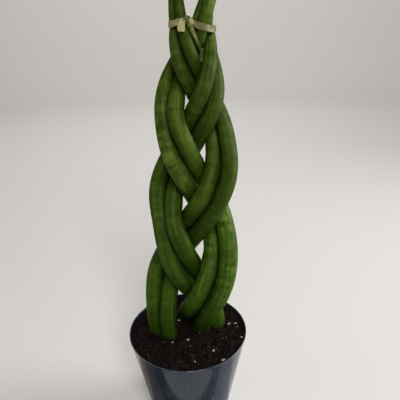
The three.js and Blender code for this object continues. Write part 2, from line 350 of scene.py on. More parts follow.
class Shader:
    """A material under construction, with short ways to add nodes and links."""

    def __init__(self, name: str) -> None:
        """Starts a material that holds one Principled shader.

        Args:
            name: the material's name.
        """
        self.material = bpy.data.materials.new(name)
        self.material.use_nodes = True
        self.tree = self.material.node_tree

    def feed(self, socket: Any, value: Any) -> None:
        """Links an output socket to an input, or sets the input's own value.

        Args:
            socket: the input socket.
            value: an output socket or a plain value.
        """
        if isinstance(value, bpy.types.NodeSocket):
            self.tree.links.new(value, socket)
        else:
            socket.default_value = value

    def node(self, kind: str, inputs: Optional[dict[Any, Any]] = None, **settings: Any) -> Any:
        """Adds a node.

        Args:
            kind: its type without the ShaderNode prefix.
            inputs: values or links for its input sockets, by name or number.
            **settings: its other properties.

        Returns:
            The node.
        """
        made = self.tree.nodes.new("ShaderNode" + kind)
        for key, value in settings.items():
            setattr(made, key, value)
        for key, value in (inputs or {}).items():
            self.feed(made.inputs[key], value)
        return made

    def stored(self, name: str, output: str = "Fac") -> Any:
        """The mesh attribute of that name, as a number or as a vector."""
        return self.node("Attribute", attribute_name=name).outputs[output]

    def spot(self) -> Any:
        """Object coordinates, which are places in metres."""
        return self.node("TexCoord").outputs["Object"]

    def height(self) -> Any:
        """The height over the floor."""
        return self.node("SeparateXYZ", {0: self.spot()}).outputs["Z"]

    def noise(self, place: Any, scale: Any, detail: float = 3.0, rough: float = 0.55) -> Any:
        """A noise texture.

        Args:
            place: the coordinates.
            scale: hills per metre, as one number or as one for each axis.
            detail: how many finer sizes are added up.
            rough: how strong each finer size is.

        Returns:
            Its height, from 0 to 1.
        """
        if isinstance(scale, tuple):
            place, scale = self.node("Mapping", {"Vector": place, "Scale": scale}).outputs[0], 1.0
        inputs = {"Vector": place, "Scale": scale, "Detail": detail, "Roughness": rough}
        return self.node("TexNoise", inputs).outputs["Fac"]

    def graded(self, value: Any, low: float, high: float, out: Sequence[float] = (0, 1)) -> Any:
        """A value from low to high carried over to the range out, and held at its ends."""
        return self.node("MapRange", {0: value, 1: low, 2: high, 3: out[0], 4: out[1]}).outputs[0]

    def mixed(self, share: Any, first: Any, second: Any, blend: str = "MIX") -> Any:
        """Two colours mixed by a share."""
        inputs = {"Factor": share, 6: first, 7: second}
        return self.node("Mix", inputs, data_type="RGBA", blend_type=blend).outputs[2]

    def times(self, first: Any, second: Any) -> Any:
        """The product of two values."""
        return self.node("Math", {0: first, 1: second}, operation="MULTIPLY").outputs[0]

    def plus(self, first: Any, second: Any) -> Any:
        """The sum of two values."""
        return self.node("Math", {0: first, 1: second}, operation="ADD").outputs[0]

    def bump(self, height: Any, strength: float, distance: float, under: Any = (0, 0, 0)) -> Any:
        """A bump normal from a height, laid over another bump where one is given."""
        inputs = {"Height": height, "Strength": strength, "Distance": distance, "Normal": under}
        return self.node("Bump", inputs).outputs[0]

    def finish(self, inputs: dict[str, Any]) -> bpy.types.Material:
        """Feeds the Principled shader.

        Args:
            inputs: values or links for its sockets, by name.

        Returns:
            The finished material.
        """
        for key, value in inputs.items():
            self.feed(self.tree.nodes["Principled BSDF"].inputs[key], value)
        return self.material


@dataclass(frozen=True)
class LeafSkin:
    """Waxy green skin with broken pale cross-bands, fine lengthwise streaks and painted shade.

    A pattern's scale is in hills per metre, first twice across the leaf, then along it.
    """

    name: str
    banding: float = 0.5  # how strongly the cross-bands show
    lightness: float = 1.0  # of the ground colour, against the other leaves: partly the leaf's own tone, partly painted light
    deep: Colour = (0.028, 0.053, 0.0020, 1)
    green: Colour = (0.066, 0.106, 0.006, 1)
    pale: Colour = (0.205, 0.270, 0.050, 1)
    # the dark green of the painted shade, in the grooves and where the leaf is shaded
    groove: Colour = (0.010, 0.020, 0.0015, 1)
    dry: Colour = (0.30, 0.19, 0.09, 1)
    earth: Colour = (0.030, 0.021, 0.014, 1)
    fresh: Colour = (0.84, 1.06, 0.80, 1)  # the colours are multiplied by it low down
    low_banding: float = 0.2
    fresh_below: float = 115 * MM
    ripe_above: float = 320 * MM
    clouds: Triple = (60, 60, 22)
    bands: Triple = (65, 65, 215)
    columns: Triple = (280, 280, 55)
    lines: Triple = (460, 460, 9)
    streaks: Triple = (900, 900, 45)
    wax: Triple = (160, 160, 90)
    spatter: float = 700
    pores: float = 1500

    def make(self) -> bpy.types.Material:
        """The skin's material.

        Returns:
            A material that reads the leaf's straightened coordinates ("grain"), its grooves
            ("groove"), how much painted shade it takes ("shade"), and where it is dry and
            soiled ("tip", "soiled"). The grooves are darkened with painted shade too.
        """
        s = Shader(self.name)
        deep, green, pale = (self.shaded(tone) for tone in (self.deep, self.green, self.pale))
        grain = s.stored("grain", "Vector")
        patterns = (self.bands, self.columns, self.lines, self.streaks)
        bands, columns, lines, streaks = (s.noise(grain, scale, 2.0) for scale in patterns)
        low = s.graded(s.height(), self.fresh_below, self.ripe_above, (1, 0))
        broken = s.times(s.graded(bands, 0.4, 0.7), s.graded(columns, 0.3, 0.62))
        banding = s.graded(low, 0.72, 1.0, (self.banding, self.low_banding))
        colour = s.mixed(s.graded(s.noise(grain, self.clouds), 0.3, 0.7), deep, green)
        colour = s.mixed(s.times(broken, banding), colour, pale)
        colour = s.mixed(s.graded(lines, 0.52, 0.7, (0, 0.28)), colour, pale)
        colour = s.mixed(s.graded(streaks, 0.5, 0.85, (0, 0.4)), colour, deep)
        # painted shade in the grooves
        colour = s.mixed(s.times(s.stored("groove"), 0.4), colour, self.groove)
        # painted shade where a neighbour is near, on undersides and on the foremost runs
        colour = s.mixed(s.times(s.stored("shade"), 0.68), colour, self.groove)
        colour = s.mixed(low, colour, self.fresh, "MULTIPLY")
        colour = s.mixed(s.stored("tip"), colour, self.dry)
        dirt = s.times(s.stored("soiled"), s.graded(s.noise(grain, self.spatter), 0.42, 0.6))
        skin = s.bump(streaks, 0.25, 0.12 * MM)
        return s.finish(
            {
                "Base Color": s.mixed(dirt, colour, self.earth),
                "Roughness": s.graded(s.noise(grain, self.wax), 0.3, 0.7, (0.45, 0.6)),
                "Specular IOR Level": 0.15,
                "Normal": s.bump(s.noise(grain, self.pores, 2.0), 0.2, 0.06 * MM, skin),
            }
        )

    def shaded(self, tone: Colour) -> Colour:
        """A colour made as light as this leaf is set: partly its own tone, partly painted light."""
        return tuple(value * self.lightness for value in tone[:3]) + (1,)


@dataclass(frozen=True)
class Peat:
    """Damp peat: near-black brown with rusty and grey grains, patterned in hills per metre."""

    name: str = "peat"
    dark: Colour = (0.0055, 0.0030, 0.0030, 1)
    brown: Colour = (0.022, 0.0115, 0.0100, 1)
    rust: Colour = (0.046, 0.022, 0.020, 1)
    patches: float = 140
    lumps: float = 320
    grains: float = 1400

    def make(self) -> bpy.types.Material:
        """The peat's material.

        Returns:
            A material that is patterned on Object coordinates.
        """
        s = Shader(self.name)
        place = s.spot()
        patches = s.noise(place, self.patches, 2.0)
        lumps = s.noise(place, self.lumps, 4.0, 0.6)
        grains = s.noise(place, self.grains, 3.0, 0.6)
        damp = s.plus(lumps, s.graded(patches, 0.3, 0.7, (-0.14, 0.14)))
        colour = s.mixed(s.graded(damp, 0.33, 0.68), self.dark, self.brown)
        return s.finish(
            {
                "Base Color": s.mixed(s.graded(grains, 0.6, 0.75, (0, 0.6)), colour, self.rust),
                "Roughness": 0.9,
                "Specular IOR Level": 0.25,
                "Normal": s.bump(grains, 0.7, 0.5 * MM, s.bump(lumps, 0.5, 0.8 * MM)),
            }
        )


@dataclass(frozen=True)
class Grain:
    """A loose grain, perlite or a chip of bark, that is darker the more soil it carries."""

    name: str
    light: Colour
    shade: Colour
    pores: float = 1500

    def make(self) -> bpy.types.Material:
        """The grain's material.

        Returns:
            A material that reads the grain's own tone ("tone"), with a porous surface.
        """
        s = Shader(self.name)
        pores = s.noise(s.spot(), self.pores, 3.0, 0.6)
        share = s.times(s.stored("tone"), s.graded(pores, 0.3, 0.55, (0.6, 1.0)))
        colour = s.mixed(share, self.shade, self.light)
        rough = s.bump(pores, 0.6, 0.3 * MM)
        return s.finish({"Base Color": colour, "Roughness": 0.85, "Normal": rough})


@dataclass(frozen=True)
class PotPlastic:
    """Thin moulded slate-grey plastic, glossy, with faint handling marks."""

    name: str = "pot_plastic"
    slate: Colour = (0.0205, 0.0325, 0.051, 1)
    worn: Colour = (0.040, 0.053, 0.073, 1)
    # the painted highlight along the rim
    rim_highlight: Colour = (0.125, 0.135, 0.155, 1)
    rim_height: float = 105 * MM
    rim_band: float = 0.9 * MM
    patches: float = 28
    scuffs: Triple = (500, 500, 40)

    def make(self) -> bpy.types.Material:
        """The plastic's material.

        Returns:
            A material with a painted highlight along the rim, worn patches and upright scuffs.
        """
        s = Shader(self.name)
        patches = s.noise(s.spot(), self.patches)
        scuffs = s.noise(s.spot(), self.scuffs, 2.0)
        rubs = s.plus(patches, s.graded(scuffs, 0.35, 0.7, (-0.1, 0.16)))
        colour = s.mixed(s.graded(rubs, 0.38, 0.75), self.slate, self.worn)
        edge = s.graded(s.height(), self.rim_height - self.rim_band, self.rim_height)
        gloss = s.graded(patches, 0.3, 0.7, (0.09, 0.15))
        # painted highlight along the rim, broken by the scuffs
        rim_highlight_mask = s.times(edge, s.graded(scuffs, 0.3, 0.6))
        return s.finish(
            {
                "Base Color": s.mixed(rim_highlight_mask, colour, self.rim_highlight),
                "Roughness": s.plus(gloss, s.graded(scuffs, 0.5, 0.8, (0, 0.12))),
                "Specular IOR Level": 0.6,
                "Normal": s.bump(patches, 0.15, 0.4 * MM),
            }
        )


@dataclass(frozen=True)
class Raffia:
    """Dry palm fibre: pale straw with olive streaks along the strip."""

    name: str = "raffia"
    straw: Colour = (0.50, 0.465, 0.225, 1)
    worn: Colour = (0.30, 0.30, 0.13, 1)
    olive: Colour = (0.072, 0.078, 0.014, 1)
    brown: Colour = (0.075, 0.065, 0.020, 1)
    strands: Triple = (40, 2600, 2600)
    stains: Triple = (110, 220, 220)

    def make(self) -> bpy.types.Material:
        """The fibre's material.

        Returns:
            A material that reads the strip's own coordinates ("fibre") and age ("aged").
        """
        s = Shader(self.name)
        fibre = s.stored("fibre", "Vector")
        strands, stains = s.noise(fibre, self.strands), s.noise(fibre, self.stains)
        age = s.plus(s.stored("aged"), s.graded(stains, 0.3, 0.7, (-0.15, 0.15)))
        colour = s.mixed(s.graded(stains, 0.42, 0.68), self.straw, self.worn)
        colour = s.mixed(s.graded(age, 0.12, 1.0), colour, self.olive)
        return s.finish(
            {
                "Base Color": s.mixed(s.graded(strands, 0.55, 0.8, (0, 0.5)), colour, self.brown),
                "Roughness": 0.55,
                "Sheen Weight": 0.05,
                "Normal": s.bump(strands, 0.6, 0.15 * MM),
            }
        )


# ---------------- the leaves


@dataclass
class Leaf:
    """One round leaf, carried along the middle line of its solid in the frame."""

    node: str
    number: int
    cad_sides: int = 12
    cad_root: float = 6.4 * MM  # the solid's lowest stretch, which isn't cut
    cad_tip: float = 1.5 * MM  # the last bit of its point, which isn't cut either
    slice_step: float = 4 * MM
    step: float = 0.8 * MM
    easing: float = 4 * MM  # the bell that smooths the middle line
    sides: int = 72
    swell: float = 0.15 * MM  # brings the leaves close enough to touch
    point_round: float = 3 * MM
    point_end: float = 0.1 * MM
    caps: Pair = (3 * MM, 0.3 * MM)  # from the first and last ring to the ends
    ribs: int = 14
    rib_shift: float = 0.28  # how unevenly the grooves are spaced, as a share of one rib
    rib_drift: float = 0.12  # how far a groove wanders, in radians
    drift_length: float = 45 * MM
    groove_depth: float = 0.16 * MM
    groove_width: float = 0.085  # in radians
    groove_shares: Pair = (0.45, 1.0)  # of that depth, from groove to groove
    groove_fade: float = 0.25  # the share that comes and goes along a groove
    fade_length: float = 31 * MM
    groove_start: Pair = (0.15, 0.6)  # in shares of the leaf's full thickness
    oval: float = 0.012  # as a share of the radius
    swelling: float = 0.010
    swelling_size: float = 14 * MM
    dry_tip: Pair = (2.1 * MM, 7 * MM)  # under the tip
    soil_line: float = 102.3 * MM
    soiled: Pair = (0.5 * MM, 5 * MM)  # over the soil line
    tie_height: float = 393.5 * MM
    pinch: float = 0.8 * MM  # how far the tie presses the leaf in
    pinch_reach: float = 4.5 * MM
    squeeze: float = 0.1 * MM  # how far two touching leaves are pressed into each other
    near: float = 2.0 * MM  # a gap up to this one is closed
    far: float = 3.2 * MM  # a gap from this one on is left as it is
    contact_angle: float = 0.5  # half the width of a contact, in radians
    contact_easing: float = 3  # in stations
    shade_gap: float = 9 * MM  # a neighbour nearer than this one paints shade on the leaf
    shade_angle: float = 1.15
    under_shade: float = 0.35  # how much painted shade darkens an underside
    under: Pair = (-0.15, 0.3)  # the shares of downward facing where it sets in
    behind: Pair = (-12 * MM, 8 * MM)  # from the foremost runs to the rear ones
    behind_share: float = 0.5  # how much less painted shade a rear run takes from its neighbours
    ahead_shade: float = 0.28  # how much painted shade darkens a foremost run
    middle: np.ndarray = field(init=False)
    radius: np.ndarray = field(init=False)
    angle: np.ndarray = field(init=False)
    pressed: np.ndarray = field(init=False)
    # painted shade from the neighbours, from 0 to 1
    shade: np.ndarray = field(init=False)

    def cut(self, corners: np.ndarray, level: float) -> list[float]:
        """Cuts the leaf's solid at one height.

        A cut's middle is the mean of its outline, weighted by length.

        Args:
            corners: triangles by corners by three.
            level: the height.

        Returns:
            x and y of the cut's middle, the height, and the cut's area.
        """
        a, b = corners, np.roll(corners, -1, axis=1)
        crosses = (a[..., 2] - level) * (b[..., 2] - level) < 0
        a, b = a[crosses], b[crosses]
        part = (level - a[:, 2:]) / (b[:, 2:] - a[:, 2:])
        outline = (a + part * (b - a)).reshape(-1, 2, 3)
        length = np.linalg.norm(outline[:, 1] - outline[:, 0], axis=1)
        middle = (outline.mean(axis=1) * length[:, None]).sum(axis=0) / length.sum()
        p, q = outline[:, 0] - middle, outline[:, 1] - middle
        area = 0.5 * np.abs(p[:, 0] * q[:, 1] - p[:, 1] * q[:, 0]).sum()
        return [middle[0], middle[1], level, area]

    def read_frame(self, solid: Piece) -> None:
        """Finds the leaf's middle line and radius from level cuts through its solid.

        A polygon of n sides on a circle of radius r has the area n/2 r^2 sin(2 pi / n), and
        a level cut through a leaning leaf is longer by one over the cosine of its lean.

        Args:
            solid: the leaf's node in the frame.
        """
        mesh = solid.data
        mesh.calc_loop_triangles()
        places = np.empty(3 * len(mesh.vertices), np.float32)
        mesh.vertices.foreach_get("co", places)
        order = np.empty(3 * len(mesh.loop_triangles), np.int32)
        mesh.loop_triangles.foreach_get("vertices", order)
        corners = places.astype(float).reshape(-1, 3)[order].reshape(-1, 3, 3)
        low, high = corners[..., 2].min(), corners[..., 2].max()
        levels = np.arange(low + self.cad_root, high - self.cad_tip, self.slice_step)
        table = np.array([self.cut(corners, level) for level in levels])
        lean = onward(table[:, :3])[:, 2]
        share = self.cad_sides / 2 * math.sin(TURN / self.cad_sides)
        columns = (table[:, 0], table[:, 1], np.sqrt(table[:, 3] * lean / share))
        z = np.arange(levels[0], high, self.step)
        rough = np.stack([np.interp(z, levels, column) for column in columns], axis=1)
        past = z > levels[-1]
        slope = (table[-1, :2] - table[-3, :2]) / (levels[-1] - levels[-3])
        rough[past, :2] = table[-1, :2] + slope * (z[past] - levels[-1])[:, None]
        fine = eased(rough, self.easing / self.step)
        self.middle = np.column_stack([fine[:, :2], z])
        rounding = np.sqrt(np.clip((high - z + self.point_end) / self.point_round, 0, 1))
        self.radius = (fine[:, 2] + self.swell) * rounding
        self.radius -= self.pinch * bell(z - self.tie_height, self.pinch_reach)
        self.angle = circle(self.sides)[None]
        self.pressed = np.zeros((len(z), self.sides))
        self.shade = np.zeros((len(z), self.sides))

    def axes(self) -> tuple[np.ndarray, np.ndarray, np.ndarray]:
        """The directions of the leaf at each station.

        Returns:
            The one along the leaf, the one across it that is nearest to +X, and the one
            square to both.
        """
        along = onward(self.middle)
        u = unit(np.array([1.0, 0, 0]) - along[:, :1] * along)
        return along, u, np.cross(along, u)

    def press_on(self, other: "Leaf") -> None:
        """Swells or dents this leaf where another one nearly touches or overlaps it.

        Each of the two takes half of the gap between them, as a bell round the direction
        of the nearest point of the other's middle line. A neighbour within the shade gap
        also paints shade on the side that faces it.

        Args:
            other: the neighbouring leaf.
        """
        apart = other.middle[None] - self.middle[:, None]
        distance = np.linalg.norm(apart, axis=2) - other.radius[None]
        nearest = distance.argmin(axis=1)
        rows = np.arange(len(self.middle))
        gap = distance[rows, nearest] - self.radius
        _, u, v = self.axes()
        way = apart[rows, nearest]
        facing = np.arctan2((way * v).sum(axis=1), (way * u).sum(axis=1))[:, None]
        away = wrapped(self.angle - facing)
        share = (1 - smooth_step(self.near, self.far, gap)) * (gap + self.squeeze) / 2
        contact = share[:, None] * bell(away, self.contact_angle)
        self.pressed += eased(contact, self.contact_easing)
        # painted shade: the nearer a neighbour, the darker the green that faces it
        close = (1 - smooth_step(0, self.shade_gap, gap))[:, None]
        close = eased(close * bell(away, self.shade_angle), self.contact_easing)
        self.shade = np.maximum(self.shade, close)

    def section(self, z: np.ndarray) -> np.ndarray:
        """The leaf's middle and level half-width at a height.

        Args:
            z: one height or more, in metres.

        Returns:
            x, y and half-width for each, in metres.
        """
        heights = self.middle[:, 2]
        columns = (self.middle[:, 0], self.middle[:, 1], self.radius)
        table = np.stack([np.interp(z, heights, column) for column in columns], axis=-1)
        i = np.clip(np.searchsorted(heights, z), 1, len(heights) - 1)
        table[..., 2] *= np.linalg.norm(self.middle[i] - self.middle[i - 1], axis=-1) / self.step
        return table

    def grooves(self, run: np.ndarray, rng: np.random.Generator) -> np.ndarray:
        """The grooves between the ribs: wandering bells, deeper here and shallower there.

        Args:
            run: the length along the leaf at each station.
            rng: for where and how deep each groove is.

        Returns:
            How deep the surface lies at each point, from 0 to 1.
        """
        groove = np.zeros((len(run), self.sides))
        for k in range(self.ribs):
            drift = self.rib_drift * np.sin(run / self.drift_length + rng.uniform(0, TURN))
            shift = rng.uniform(-self.rib_shift, self.rib_shift)
            away = wrapped(self.angle - TURN * (k + shift) / self.ribs - drift)
            fade = 1 - self.groove_fade * (1 - np.sin(run / self.fade_length + k))
            depth = rng.uniform(*self.groove_shares) * fade
            groove = np.maximum(groove, depth * bell(away, self.groove_width))
        return groove * smooth_step(*self.groove_start, self.radius[:, None] / self.radius.max())

    def build(self) -> Piece:
        """Carries the ribbed section along the middle line.

        The section's radius is the leaf's own, less the grooves, plus a slight oval, slow
        random swellings and what its neighbours press.

        Returns:
            The leaf's object.
        """
        rng = np.random.default_rng(100 + self.number)
        along, u, v = self.axes()
        run = lengths(self.middle)[:, None]
        angle, radius = self.angle, self.radius[:, None]
        full = radius / radius.max()
        groove = self.grooves(run, rng)
        straight = turned(radius, angle, run + self.number)
        swellings = self.swelling * noise(straight / self.swelling_size, 7 + self.number, 2)
        oval = self.oval * full * np.cos(2 * (angle - rng.uniform(0, TURN)))
        reach = radius * (1 + oval + swellings) - self.groove_depth * groove * full + self.pressed
        across = np.cos(angle)[..., None] * u[:, None] + np.sin(angle)[..., None] * v[:, None]
        rings = self.middle[:, None] + reach[..., None] * across
        root = self.middle[0] - along[0] * self.caps[0]
        end = self.middle[-1] + along[-1] * self.caps[1]
        piece = add_skin(self.node + "_skin", rings, root, end)
        height = self.middle[:, 2:] + 0 * angle
        behind = smooth_step(*self.behind, self.middle[:, 1:2])
        # painted shade on the sides that face down
        under = self.under_shade * smooth_step(*self.under, -across[..., 2])
        # painted shade where a neighbour is near, less on the rear runs
        beside = self.shade * (1 - self.behind_share * behind)
        # painted shade on the foremost runs
        ahead = self.ahead_shade * (1 - behind)
        add_attributes(
            piece,
            grain=straight,
            groove=groove,
            shade=1 - (1 - beside) * (1 - under) * (1 - ahead),
            tip=1 - smooth_step(*self.dry_tip, self.middle[-1, 2] - height),
            soiled=1 - smooth_step(*self.soiled, height - self.soil_line),
        )
        return piece


@dataclass
class Braid:
    """The six leaves, and the room that they leave between them."""

    # the second number of each skin is its lightness: partly the leaf's own tone, partly painted
    # light
    skins: tuple[LeafSkin, ...] = (
        LeafSkin("leaf_first_left", 0.35, 1.15),
        LeafSkin("leaf_first_right", 0.3, 1.02),
        LeafSkin("leaf_second_left", 0.4, 1.15),
        LeafSkin("leaf_second_right", 0.35, 1.08),
        LeafSkin("leaf_third_left", 0.7, 1.25),
        LeafSkin("leaf_third_right", 0.6, 1.3),
    )
    leaves: list[Leaf] = field(default_factory=list)

    def build(self, nodes: dict[str, Piece]) -> None:
        """Makes and dresses each leaf in place of its node.

        Args:
            nodes: the frame's nodes by name.
        """
        self.leaves = [Leaf(skin.name, number) for number, skin in enumerate(self.skins)]
        for leaf in self.leaves:
            leaf.read_frame(nodes[leaf.node])
        for leaf, skin in zip(self.leaves, self.skins):
            for other in self.leaves:
                if other is not leaf:
                    leaf.press_on(other)
            dress(leaf.build(), skin.make(), leaf.node)

    def clear_of(self, x: np.ndarray, y: np.ndarray, z: float) -> np.ndarray:
        """The level distance from places at one height to the nearest leaf."""
        cuts = [leaf.section(z) for leaf in self.leaves]
        return np.min([np.hypot(x - cut[0], y - cut[1]) - cut[2] for cut in cuts], axis=0)


# ---------------- the pot


@dataclass
class Pot:
    """The thin tapered pot, as a profile turned about the upright axis."""

    rim_radius: float = 59.9 * MM
    foot_radius: float = 40 * MM
    height: float = 105 * MM
    wall: float = 1.1 * MM
    floor: float = 1.8 * MM
    heel: float = 2.5 * MM
    hub: float = 4 * MM  # the radius of the innermost ring of the floor and the underside
    ease: float = 1 * MM  # how far a flat stretch ends before a bend
    lip: float = 0.9 * MM  # from the top down to where the straight wall ends
    sides: int = 256
    heel_points: int = 8
    wall_points: int = 60
    rim_points: int = 13
    flat_points: tuple[int, int] = (10, 6)  # on the underside and on the floor
    warp: float = 0.12 * MM
    warp_size: float = 26 * MM
    warp_rise: float = 0.35  # how fast the wall changes upwards, against round the pot
    still: Pair = (25 * MM, 12 * MM)  # over which the warp sets in, from foot and from rim

    def outer(self, z: np.ndarray) -> np.ndarray:
        """The outer radius at a height: a straight taper from foot to rim."""
        return self.foot_radius + (self.rim_radius - self.foot_radius) * z / self.height

    def inner(self, z: float) -> float:
        """The inner radius at a height."""
        return float(self.outer(z)) - self.wall

    def profile(self) -> np.ndarray:
        """The wall's outline from the underside out, up, over the rim and down inside.

        Returns:
            Radius and height of each point.
        """
        quarter = np.linspace(0, math.pi / 2, self.heel_points)
        over = np.linspace(0, math.pi, self.rim_points)
        z = np.linspace(self.heel + 2 * self.ease, self.height - self.lip, self.wall_points)
        below, within = self.flat_points
        foot = self.outer(self.heel) - self.heel
        base = self.inner(self.floor)
        half = self.wall / 2
        rim, top = self.rim_radius - half, self.height - half
        stretches = (
            (np.linspace(self.hub, foot - self.ease, below), np.zeros(below)),
            (foot + self.heel * np.sin(quarter), self.heel * (1 - np.cos(quarter))),
            (self.outer(z), z),
            (rim + half * np.cos(over), top + half * np.sin(over)),
            (self.outer(z[::-1]) - self.wall, z[::-1]),
            ([base], [self.floor]),
            (np.linspace(base - self.ease, self.hub, within), np.full(within, self.floor)),
        )
        return np.concatenate([np.column_stack(stretch) for stretch in stretches])

    def build(self) -> None:
        """Turns the profile, with the slight unevenness of thin moulded plastic."""
        profile = self.profile()
        angle = circle(self.sides)
        radius, height = profile[:, :1], profile[:, 1:]
        wave = noise(turned(radius, angle, self.warp_rise * height) / self.warp_size, 3, 2)
        low, high = self.still
        free = smooth_step(0, low, height) * smooth_step(0, high, self.height - height)
        rings = turned(radius - self.warp * (1 + wave) * free, angle, height)
        piece = add_skin("pot_shell", rings, (0, 0, 0), (0, 0, self.floor))
        dress(piece, PotPlastic().make(), "pot")


# ---------------- the soil


@dataclass
class Scatter:
    """Where loose grains lie and what size they are. What isn't given is random."""

    places: np.ndarray  # x and y of each
    sizes: np.ndarray  # three half-sizes of each, the last one upright
    turns: Optional[np.ndarray] = None  # the way that each one's length points, from +X
    tones: Optional[np.ndarray] = None  # how light each one is, from 0 to 1

    def led_by(self, rows: Rows, tone: float, rng: np.random.Generator) -> "Scatter":
        """These random grains, with the listed ones before them.

        Args:
            rows: the listed ones, as in the tables of the soil.
            tone: how light a random one can be.
            rng: draws the turns and tones of the random ones.

        Returns:
            All of them.
        """
        table, count = np.array(rows), len(self.places)
        turns = np.concatenate([np.radians(table[:, 5]), rng.uniform(0, TURN, count)])
        tones = np.concatenate([table[:, 6], rng.uniform(0, tone, count)])
        places = np.concatenate([table[:, :2] * MM, self.places])
        return Scatter(places, np.concatenate([table[:, 2:5] * MM, self.sizes]), turns, tones)


@dataclass
class SoilBed:
    """The peat in the pot, with its crumbs, perlite and bark."""

    braid: Braid
    pot: Pot
    edge_height: float = 102.5 * MM
    crown_height: float = 103.1 * MM
    # the lumps of each size: their height and width, and the noise's seed and octaves
    lumps: tuple[tuple[float, float, int, int], ...] = (
        (1.0 * MM, 11 * MM, 21, 1),
        (1.0 * MM, 4.6 * MM, 22, 2),
        (0.55 * MM, 1.9 * MM, 23, 2),
    )
    edge_calm: float = 0.55  # how much lower the lumps are at the wall
    edge_zone: Pair = (0.86, 1)  # in shares of the soil's radius
    hollow: Pair = (-26 * MM, -1 * MM)  # a dip round the first pair of leaves
    hollow_depth: float = 2.4 * MM
    hollow_reach: float = 15 * MM
    gap_depth: float = 1.8 * MM  # where the soil has shrunk from the front of the wall
    gap_reach: float = 1.8 * MM
    gap_zone: Pair = (-0.2, 0.9)  # in shares of the radius towards the front
    clearance: float = 0.3 * MM  # of the soil's side from the wall, and of grains from leaves
    side_heights: tuple[float, ...] = (90 * MM, 60 * MM, 30 * MM, 2.1 * MM)
    sides: int = 380
    rings: int = 210
    lumpiness: float = 0.28  # of a loose grain
    lump_size: float = 1.3  # hills on its radius
    roughness: float = 0.1
    fine_roughness: float = 0.04  # of one with many faces
    slope: float = 0.3  # how far off level a grain lies, in radians
    crumbs: int = 1900
    crumb_size: float = 0.62  # the middle one of the half-sizes, in mm
    crumb_spread: float = 0.42
    specks: int = 16  # of perlite, besides the chosen ones
    speck_sizes: Pair = (0.3, 0.8)  # half-sizes, in mm
    chips: int = 60
    chip_sizes: Pair = (0.5, 1.0)
    chip_lengths: Pair = (1.5, 4)  # of a chip, against its size
    chip_flatness: Pair = (0.7, 0.5)  # its width and its height, against its size
    # x, y and three half-sizes in mm, the way that the length points in degrees, and the tone
    perlite: Rows = (
        (-10.0, 14.7, 1.8, 0.8, 0.7, -10, 0.9),
        (0.4, -14.7, 1.4, 1.2, 1.1, 0, 1.0),
        (-2.0, -14.4, 0.9, 0.6, 0.5, 20, 0.3),
        (-15.0, -18.4, 1.2, 0.9, 0.9, 10, 0.75),
        (42.6, 5.8, 1.3, 1.2, 1.1, 0, 0.65),
        (50.6, 9.2, 2.2, 0.8, 0.7, 5, 0.8),
        (51.2, 2.5, 0.9, 0.8, 0.6, 0, 0.25),
        (54.0, -13.6, 1.3, 1.0, 0.9, 150, 0.85),
        (24.9, -31.8, 1.5, 1.3, 1.1, 0, 0.5),
        (7.3, -45.0, 1.2, 1.1, 0.8, 0, 0.5),
        (33.4, -43.9, 2.9, 1.0, 0.8, 26, 0.8),
        (-23.2, -18.2, 0.9, 0.6, 0.5, 0, 0.2),
        (2.7, -22.9, 0.9, 0.8, 0.5, 40, 0.2),
        (38.8, -13.0, 1.0, 0.7, 0.5, 0, 0.25),
    )
    twigs: Rows = (
        (28.8, -29.7, 3.9, 0.35, 0.35, -60, 1.0),
        (33.6, -45.6, 1.3, 0.6, 0.6, -50, 0.0),
        (31.5, -46.9, 1.6, 0.5, 0.5, 20, 0.1),
    )

    def level(self, x: np.ndarray, y: np.ndarray) -> np.ndarray:
        """The height of the soil: a low mound with lumps of three sizes.

        A bell-shaped hollow lies round the first pair of leaves, and the soil falls off
        towards the wall, most of all at the front.

        Args:
            x: places across.
            y: places in depth.

        Returns:
            The height at each place.
        """
        reach = self.pot.inner(self.edge_height)
        out = np.clip(np.hypot(x, y) / reach, 0, 1)
        mound = (1 + np.cos(math.pi * out)) / 2
        place = np.stack([x, y, np.zeros_like(x)], axis=-1)
        lumps = sum(tall * noise(place / wide, seed, n) for tall, wide, seed, n in self.lumps)
        lumps *= 1 - self.edge_calm * smooth_step(*self.edge_zone, out)
        away = np.hypot(x - self.hollow[0], y - self.hollow[1])
        dip = self.hollow_depth * bell(away, self.hollow_reach)
        front = smooth_step(*self.gap_zone, -y / reach)
        dip += self.gap_depth * front * np.exp(-(reach - out * reach) / self.gap_reach)
        return self.edge_height + (self.crown_height - self.edge_height) * mound + lumps - dip

    def build_bed(self) -> None:
        """The soil's body: its lumpy top, its side along the wall and its bottom."""
        angle = circle(self.sides)
        out = np.linspace(0, 1, self.rings + 1)[1:, None]
        out = out * (self.pot.inner(self.edge_height) - self.clearance)
        flat = turned(out, angle, 0.0)
        top = turned(out, angle, self.level(flat[..., 0], flat[..., 1]))
        z = np.array(self.side_heights)[:, None]
        side = turned(self.pot.outer(z) - self.pot.wall - self.clearance, angle, z)
        rings = np.concatenate([top, side])[::-1]
        crown = float(self.level(np.zeros(1), np.zeros(1))[0])
        piece = add_skin("soil_bed", rings, (0, 0, self.side_heights[-1]), (0, 0, crown))
        dress(piece, Peat().make(), "soil")

